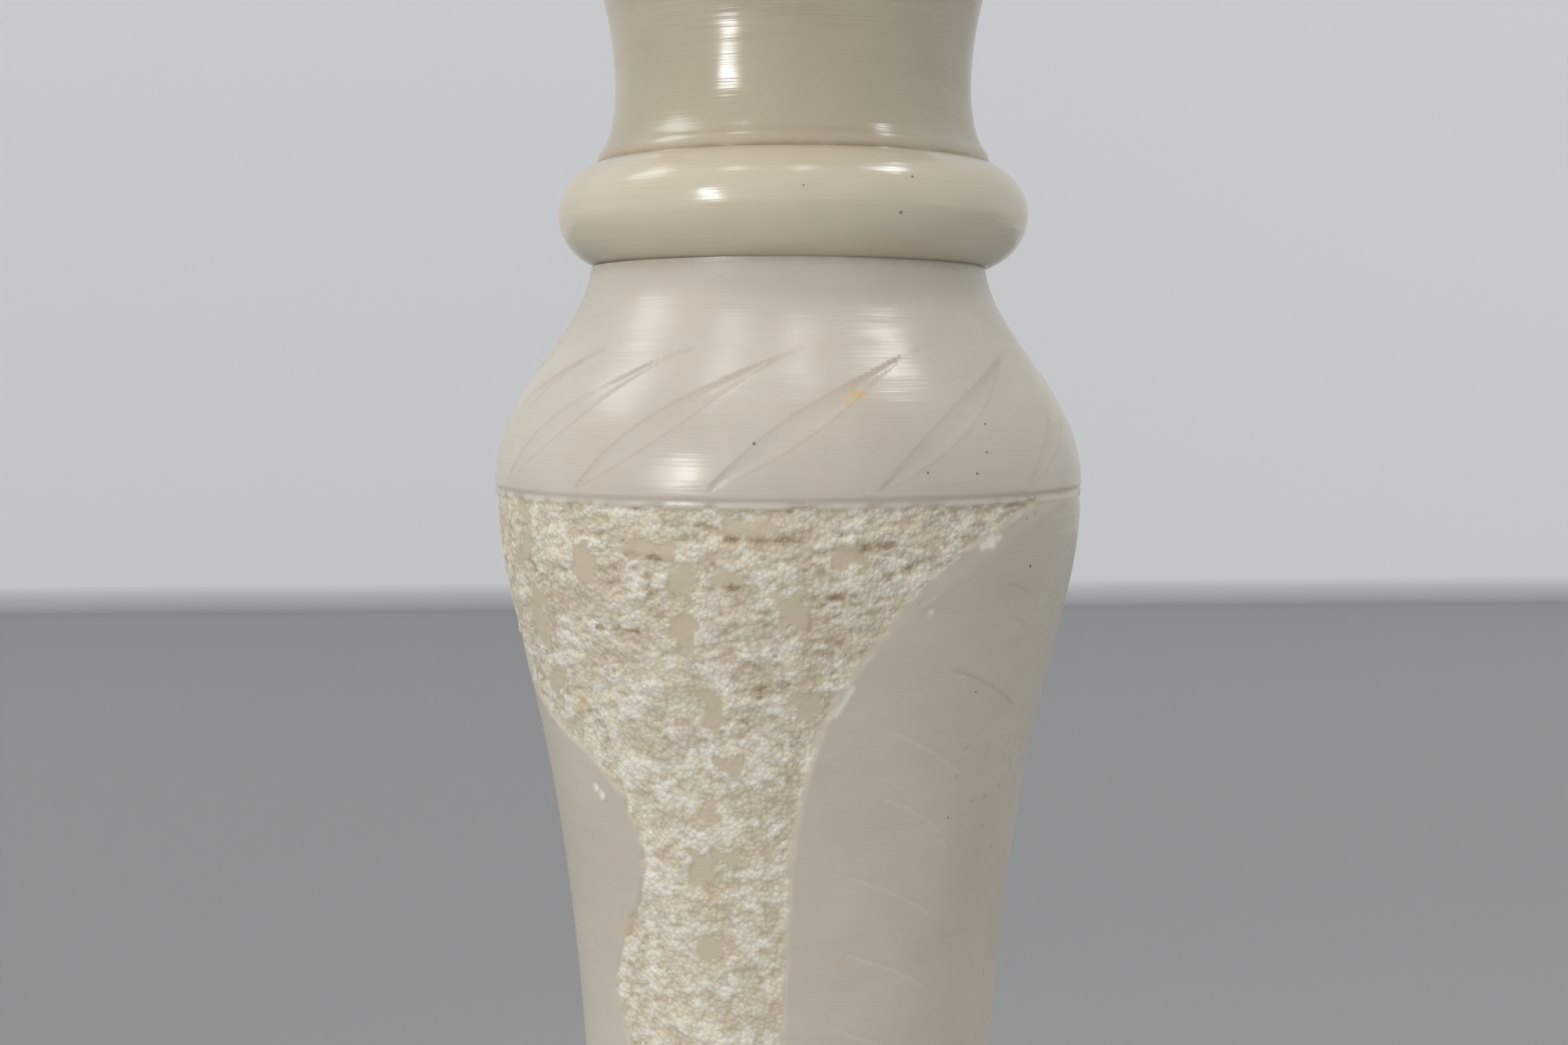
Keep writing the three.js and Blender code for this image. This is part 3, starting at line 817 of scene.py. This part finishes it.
class Value:
    """A number inside a finish. Its operators add Math nodes, so that a mask is written as a sum."""

    def __init__(self, finish, socket):
        self.finish = finish
        self.socket = socket

    def maths(self, operation, *others, clamp=False):
        settings = {"operation": operation, "use_clamp": clamp}
        inputs = dict(enumerate((self, *others)))
        return self.finish.value("Math", settings, inputs)

    def __add__(self, other):
        return self.maths("ADD", other)

    def __mul__(self, other):
        return self.maths("MULTIPLY", other)

    def __sub__(self, other):
        return self.maths("SUBTRACT", other)

    def __rsub__(self, other):
        return self.maths("MULTIPLY_ADD", -1.0, other)

    __radd__ = __add__
    __rmul__ = __mul__

    def between(self, low, high):
        """0 at low, 1 at high, clipped."""
        scale = 1 / (high - low)
        return self.maths("MULTIPLY_ADD", scale, -low * scale, clamp=True)


class Finish:
    """The material of one piece, made node by node."""

    def __init__(self, name):
        self.material = bpy.data.materials.new(name)
        self.material.use_nodes = True
        self.tree = self.material.node_tree
        self.tree.nodes.clear()

    def node(self, kind, settings=None, inputs=None):
        """Adds a node. Its settings are set first, then each input gets a value or a link."""
        made = self.tree.nodes.new("ShaderNode" + kind)
        for key, value in (settings or {}).items():
            setattr(made, key, value)
        for key, value in (inputs or {}).items():
            if isinstance(value, Value):
                self.tree.links.new(value.socket, made.inputs[key])
            elif isinstance(value, bpy.types.NodeSocket):
                self.tree.links.new(value, made.inputs[key])
            else:
                made.inputs[key].default_value = value
        return made

    def value(self, kind, settings=None, inputs=None, output=0):
        return Value(self, self.node(kind, settings, inputs).outputs[output])

    def painted(self, name):
        """A number that the mesh holds at its vertices."""
        return self.value("Attribute", {"attribute_name": name}, output="Fac")

    def mix(self, share, first, second):
        """A colour between two colours."""
        inputs = {"Factor": share, 6: first, 7: second}
        return self.node("Mix", {"data_type": "RGBA"}, inputs).outputs[2]

    def place(self, stretch=1.0):
        """The object's own coordinates in metres, drawn out along Z."""
        here = self.node("TexCoord").outputs["Object"]
        inputs = {0: here, 1: (1, 1, 1 / stretch)}
        return self.node("VectorMath", {"operation": "MULTIPLY"}, inputs).outputs[0]

    def clouds(self, size, detail=3.0, stretch=1.0, distortion=0.0):
        """Noise from 0 to 1 with features of a size in metres, drawn out along Z."""
        inputs = {
            "Vector": self.place(stretch),
            "Scale": 1 / size,
            "Detail": detail,
            "Distortion": distortion,
        }
        return self.value("TexNoise", {}, inputs)

    def crumbs(self, size):
        """Rounded crumbs of a size: 0 in the creases between them, about 1 on their tops."""
        inputs = {"Vector": self.place(), "Scale": 1 / size}
        return 1 - self.value("TexVoronoi", {}, inputs, "Distance")

    def spot(self, place, size):
        """1 at a place, fading to 0 at a distance."""
        here = self.node("TexCoord").outputs["Object"]
        away = self.value("VectorMath", {"operation": "DISTANCE"}, {0: here, 1: place}, "Value")
        return away.between(size, 0.35 * size)

    def bump(self, height):
        """A normal bent by a height in metres."""
        return self.node("Bump", {}, {"Strength": 1.0, "Distance": 1.0, "Height": height}).outputs[0]

    def stone(self, colour, roughness, normal, scatter):
        """The surface shader, with the share of light that scatters under the surface."""
        inputs = {
            "Base Color": colour,
            "Roughness": roughness,
            "IOR": 1.52,
            "Normal": normal,
            "Subsurface Weight": scatter,
            "Subsurface Radius": (1.0, 0.78, 0.52),
            "Subsurface Scale": 0.006,
        }
        return self.node("BsdfPrincipled", {}, inputs).outputs[0]

    def finished(self, surface):
        self.node("OutputMaterial", {}, {"Surface": surface})
        return self.material


def on_face(angle, height):
    """The place on the shaft's face at an angle in degrees and millimetres above the groove."""
    radius = float(np.interp(height * MM, FACE_HEIGHTS, FACE_RADII))
    turn = math.radians(angle)
    return (radius * math.sin(turn), -radius * math.cos(turn), GROOVE_HEIGHT + height * MM)


def on_neck(angle, height):
    """The same on the neck, with the height above its underside."""
    outline = neck_outline(NECK_HIGH.z - NECK_LOW.z, (NECK_HIGH.x - NECK_LOW.x) / 2)
    radii, heights = zip(*outline)
    radius = float(np.interp(height * MM, heights, radii))
    turn = math.radians(angle)
    middle = (NECK_LOW.x + NECK_HIGH.x) / 2
    return (middle + radius * math.sin(turn), -radius * math.cos(turn), NECK_LOW.z + height * MM)


# Colours are linear
BRUISED = (0.79, 0.755, 0.685, 1)
CREAM = (0.70, 0.63, 0.46, 1)
RINGED = (0.78, 0.715, 0.58, 1)  # towards this the rings are paler
PINKISH = (0.57, 0.465, 0.36, 1)
BEIGE = (0.52, 0.46, 0.34, 1)
CRUSHED = (0.765, 0.725, 0.64, 1)
# Brown of the soil, also used for painted shade in creases and recesses
SOIL_AND_SHADE = (0.27, 0.2, 0.11, 1)
OCHRE = (0.62, 0.42, 0.19, 1)
DARK = (0.06, 0.05, 0.035, 1)

# Ochre stains, as a place, a radius in millimetres and a strength
SHAFT_STAINS = [
    (on_face(13.0, 30.5), 4, 0.9), (on_face(11.0, 28.6), 3, 0.9), (on_face(-10.0, -13.8), 4, 0.6),
    (on_face(-48.5, -67.7), 5, 0.6), (on_face(-18.3, -124.9), 5, 0.5), (on_face(13.1, -147.6), 3, 0.25),
    (on_face(-43.3, -143), 7, 0.35), (on_face(-47.5, 62), 2, 0.5),
]
# Tiny dark pits, as a place and a radius in millimetres
SHAFT_PITS = [
    (on_face(37.8, 12.7), 0.6), (on_face(24.6, 7.1), 0.6), (on_face(34.9, 6.4), 0.6),
    (on_face(39.1, 21.2), 0.6), (on_face(40.7, -62.4), 0.5), (on_face(38.4, -103.3), 0.5),
    (on_face(50.4, -23.5), 0.8), (on_face(-9.9, -26.7), 1.2), (on_face(-2.5, -47.8), 1.3),
    (on_face(-6.0, 16.0), 0.7),
]
NECK_PITS = [(on_neck(27.4, 23.6), 0.6), (on_neck(24.2, 12.5), 0.7), (on_neck(2, 20), 0.4)]


def stained(finish, colour, stains, pits, darkness):
    """A colour with ochre stains and dark pits in it."""
    breakup = finish.clouds(0.003, 3.0).between(0.35, 0.65)
    for place, size, strength in stains:
        colour = finish.mix(finish.spot(place, size * MM) * breakup * strength, colour, OCHRE)
    for place, size in pits:
        colour = finish.mix(finish.spot(place, size * MM) * darkness, colour, DARK)
    return colour


def polished_stone(finish, dirt_and_shade, light, deep, gloss, turning, stains, pits):
    """Cloudy and slightly see-through stone, turned in fine rings and whitened where it is bruised and where
    a highlight is painted.
    """
    bruise_and_highlight, pale = finish.painted("bruise_and_highlight"), finish.painted("pale")
    clouds = finish.clouds(0.07, 4.0, 1.5, 0.6).between(0.34, 0.66)
    veil = finish.clouds(0.024, 3.0, 2.5, 0.5).between(0.45, 0.75)
    warm = finish.clouds(0.05, 3.0, 2.0).between(0.5, 0.8)
    colour = finish.mix(clouds, light, deep)
    lighter = tuple(1.12 * channel for channel in light[:3]) + (1,)
    colour = finish.mix(veil * 0.12, colour, lighter)
    colour = finish.mix(warm * 0.16, colour, PINKISH)
    colour = finish.mix(pale * 0.38, colour, RINGED)
    colour = finish.mix(bruise_and_highlight.between(0.1, 1.1), colour, BRUISED)
    colour = stained(finish, colour, stains, pits, 0.85)
    colour = finish.mix(dirt_and_shade * 0.8, colour, SOIL_AND_SHADE)

    roughness = (finish.clouds(0.02, 3.0, 0.5) - 0.5) * 0.14 + bruise_and_highlight * (0.7 - gloss) + gloss
    fine_marks = finish.clouds(0.02, 1.0, 0.03)
    broad_marks = finish.clouds(0.04, 1.0, 0.055)
    waves = finish.clouds(0.03, 1.0, 0.4)
    turned = finish.bump((fine_marks * 0.035 + broad_marks * 0.07 + waves * 0.6) * (turning * MM))
    return finish.stone(colour, roughness, turned, 0.35)


def crushed_stone(finish, dirt_and_shade, grit, stains, pits):
    """Dull stone, white and crumbly where the point crushed it and darker on its smooth flats."""
    crumbs = finish.crumbs(0.0017)
    crumbly = finish.painted("rough").between(0.35, 1.0)
    flats = finish.mix(finish.clouds(0.011, 2.0).between(0.45, 0.65) * 0.6, BEIGE, PINKISH)
    tint = finish.mix(finish.clouds(0.005, 2.0).between(0.4, 0.65) * 0.7, CRUSHED, CREAM)
    white = (finish.painted("bruise_and_highlight") + crumbs * crumbly * 0.5 + grit * 0.6).between(0.62, 1.5)
    colour = stained(finish, finish.mix(white, flats, tint), stains, pits, 0.7)
    # Painted shade in the creases between the crumbs
    crease = (0.42 - crumbs).between(0.0, 0.3) * 0.18
    colour = finish.mix((dirt_and_shade + crease * crumbly).between(0.0, 1.2), colour, SOIL_AND_SHADE)
    height = (crumbs * 0.5 + grit * 0.25 - 0.45) * (crumbly * MM)
    return finish.stone(colour, 0.5, finish.bump(height), 0.0)


def alabaster(name, light, deep, gloss, turning, stains=(), pits=(), crushed=False):
    """Pale alabaster: polished stone with soil and painted shade in its recesses, and crushed stone if
    asked.

    Its colour drifts between a light and a deep tone. Gloss is its roughness, and turning scales the
    fine rings that the lathe left.
    """
    finish = Finish(name)
    dirt_and_shade = finish.painted("soil_and_shade") * finish.clouds(0.006, 4.0).between(0.1, 0.52)
    polished = polished_stone(finish, dirt_and_shade, light, deep, gloss, turning, stains, pits)
    if not crushed:
        return finish.finished(polished)
    grit = finish.clouds(0.0008, 2.0)
    dull = crushed_stone(finish, dirt_and_shade, grit, stains, pits)
    mask = (finish.painted("rough") + (grit - 0.5) * 0.4).between(0.22, 0.5)
    mixed = finish.node("MixShader", {}, {0: mask, 1: polished, 2: dull})
    return finish.finished(mixed.outputs[0])


SHAFT_FINISH = alabaster(
    "shaft_alabaster",
    light=(0.565, 0.515, 0.435, 1),
    deep=(0.50, 0.45, 0.375, 1),
    gloss=0.26,
    turning=1.0,
    stains=SHAFT_STAINS,
    pits=SHAFT_PITS,
    crushed=True,
)
NECK_FINISH = alabaster(
    "neck_alabaster",
    light=(0.50, 0.445, 0.335, 1),
    deep=(0.43, 0.375, 0.28, 1),
    gloss=0.18,
    turning=1.7,
    pits=NECK_PITS,
)
SLAB_FINISH = alabaster(
    "slab_alabaster",
    light=(0.52, 0.465, 0.365, 1),
    deep=(0.45, 0.395, 0.3, 1),
    gloss=0.24,
    turning=1.0,
)


# Studio

FLOOR_REACH = 9.0
WALL_DISTANCE = 5.7
WALL_HEIGHT = 5.0
WALL_TURN = math.radians(3.8)  # its right side is further away
SWEEP_RADIUS = 0.05  # the floor turns up into the wall
SWEEP_STEPS = 8
FLOOR_COLOUR = (0.36, 0.362, 0.366, 1)
NEAR_FLOOR_COLOUR = (0.44, 0.44, 0.44, 1)
WALL_COLOUR = (0.72, 0.725, 0.74, 1)
WALL_GLOW = 0.24  # makes the wall brighter than the floor
LIGHT_DISTANCE = 3.0
LIGHT_SPREAD = math.radians(50)
ROOM_LIGHT = 0.73


def studio():
    """A floor that sweeps up into a paler wall."""
    centre = (WALL_DISTANCE - SWEEP_RADIUS, SWEEP_RADIUS)
    sweep = arc(centre, SWEEP_RADIUS, SWEEP_RADIUS, -math.pi / 2, 0, SWEEP_STEPS)
    profile = [(-FLOOR_REACH, 0), *sweep, (WALL_DISTANCE, WALL_HEIGHT)]
    points = [(side * FLOOR_REACH, y, z) for y, z in profile for side in (-1, 1)]
    starts = range(0, 2 * (len(profile) - 1), 2)
    faces = [(start, start + 1, start + 3, start + 2) for start in starts]
    finish = Finish("studio_sheet")
    here = finish.node("TexCoord").outputs["Object"]
    height = finish.value("SeparateXYZ", {}, {0: here}, "Z")
    depth = finish.value("SeparateXYZ", {}, {0: here}, "Y")
    up_wall = height.between(0.0, 0.09)
    floor = finish.mix(depth.between(1.3, 0.4), FLOOR_COLOUR, NEAR_FLOOR_COLOUR)
    surface = finish.node("BsdfPrincipled", {}, {
        "Base Color": finish.mix(up_wall, floor, WALL_COLOUR),
        "Roughness": 0.8,
        "Emission Color": finish.mix(up_wall, (0, 0, 0, 1), WALL_COLOUR),
        "Emission Strength": WALL_GLOW,
    })
    sheet = new_object("studio_sheet", points, faces, {}, [finish.finished(surface.outputs[0])], 30)
    sheet.rotation_euler.z = WALL_TURN


def area_light(name, azimuth, elevation, width, height, power):
    """A window of light aimed at the groove. Azimuth 0 is the camera's side and grows towards +X."""
    turn, rise = math.radians(azimuth), math.radians(elevation)
    away = Vector((math.cos(rise) * math.sin(turn), -math.cos(rise) * math.cos(turn), math.sin(rise)))
    lamp = bpy.data.lights.new(name, "AREA")
    lamp.shape = "RECTANGLE"
    lamp.size = width
    lamp.size_y = height
    lamp.energy = power
    lamp.spread = LIGHT_SPREAD
    holder = bpy.data.objects.new(name, lamp)
    holder.location = Vector((0, 0, GROOVE_HEIGHT)) + away * LIGHT_DISTANCE
    holder.rotation_euler = away.to_track_quat("Z", "Y").to_euler()
    bpy.context.scene.collection.objects.link(holder)


def lights():
    """Narrow windows that give the highlights, and a white world that gives most of the light."""
    area_light("window_front_left", -40, 12, 0.5, 1.0, 2.5)
    area_light("window_left", -95, 45, 0.9, 0.9, 0.84)
    area_light("ceiling_front", 10, 70, 0.35, 0.25, 0.25)
    area_light("ceiling_left", -46, 64, 0.4, 0.7, 0.4)
    area_light("ceiling_right", 78, 62, 0.4, 0.7, 0.95)
    area_light("ceiling_behind", 180, 52, 2.0, 0.8, 5)
    world = bpy.data.worlds.new("studio_light")
    world.use_nodes = True
    background = world.node_tree.nodes["Background"]
    background.inputs["Color"].default_value = (1.0, 1.0, 1.0, 1)
    background.inputs["Strength"].default_value = ROOM_LIGHT
    bpy.context.scene.world = world


# Camera, fitted to the photo: 2000 by 1333 pixels, focal length 2389 pixels
PHOTO_WIDTH = 2000
FOCAL_PIXELS = 2389
SENSOR = 36
CAMERA_SIDE = -1.4 * MM
CAMERA_DISTANCE = 646.9 * MM
CAMERA_RISE = 34.3 * MM  # above the groove
CAMERA_TILT = math.radians(4.32)  # downwards


def camera():
    lens = bpy.data.cameras.new("camera")
    lens.sensor_width = SENSOR
    lens.lens = SENSOR * FOCAL_PIXELS / PHOTO_WIDTH
    holder = bpy.data.objects.new("camera", lens)
    holder.location = (CAMERA_SIDE, -CAMERA_DISTANCE, GROOVE_HEIGHT + CAMERA_RISE)
    holder.rotation_euler = (math.pi / 2 - CAMERA_TILT, 0, 0)
    bpy.context.scene.collection.objects.link(holder)
    bpy.context.scene.camera = holder


def block_sizes(node):
    """The height and the greatest radius of a node's block."""
    low, high = (Vector(corner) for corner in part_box(node))
    return high.z - low.z, (high.x - low.x) / 2


def dress(piece, node):
    """Sets where a dressed piece rides, and hides the imported part of the node that it stands for."""
    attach(piece, "root")
    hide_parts(node)


def pieces():
    """Makes and dresses the five blocks."""
    dress(carved_shaft(), "shaft")

    outline = neck_outline(*block_sizes("neck"))
    soiled = {0: JOINT_SOIL, RING_HEIGHT: CREASE_SOIL}
    neck = turned_block("neck_turned", "neck", outline, NECK_FINISH, soiled, (0, RING_HEIGHT))
    dress(neck, "neck")

    height, bell_radius = block_sizes("foot")
    outline = foot_outline(height, bell_radius)
    crease = height - RING_HEIGHT
    soiled = {0: JOINT_SOIL, crease: CREASE_SOIL, height: JOINT_SOIL}
    foot = turned_block("foot_turned", "foot", outline, NECK_FINISH, soiled, (crease, height))
    dress(foot, "foot")

    outline = base_outline(*block_sizes("base_slab"))
    base = turned_block("base_slab_turned", "base_slab", outline, SLAB_FINISH, {})
    dress(base, "base_slab")

    outline = top_outline(*block_sizes("top_slab"))
    top = turned_block("top_slab_turned", "top_slab", outline, SLAB_FINISH, {0: JOINT_SOIL})
    dress(top, "top_slab")


camera()
lights()
studio()
pieces()
bpy.context.scene.view_settings.view_transform = "Standard"
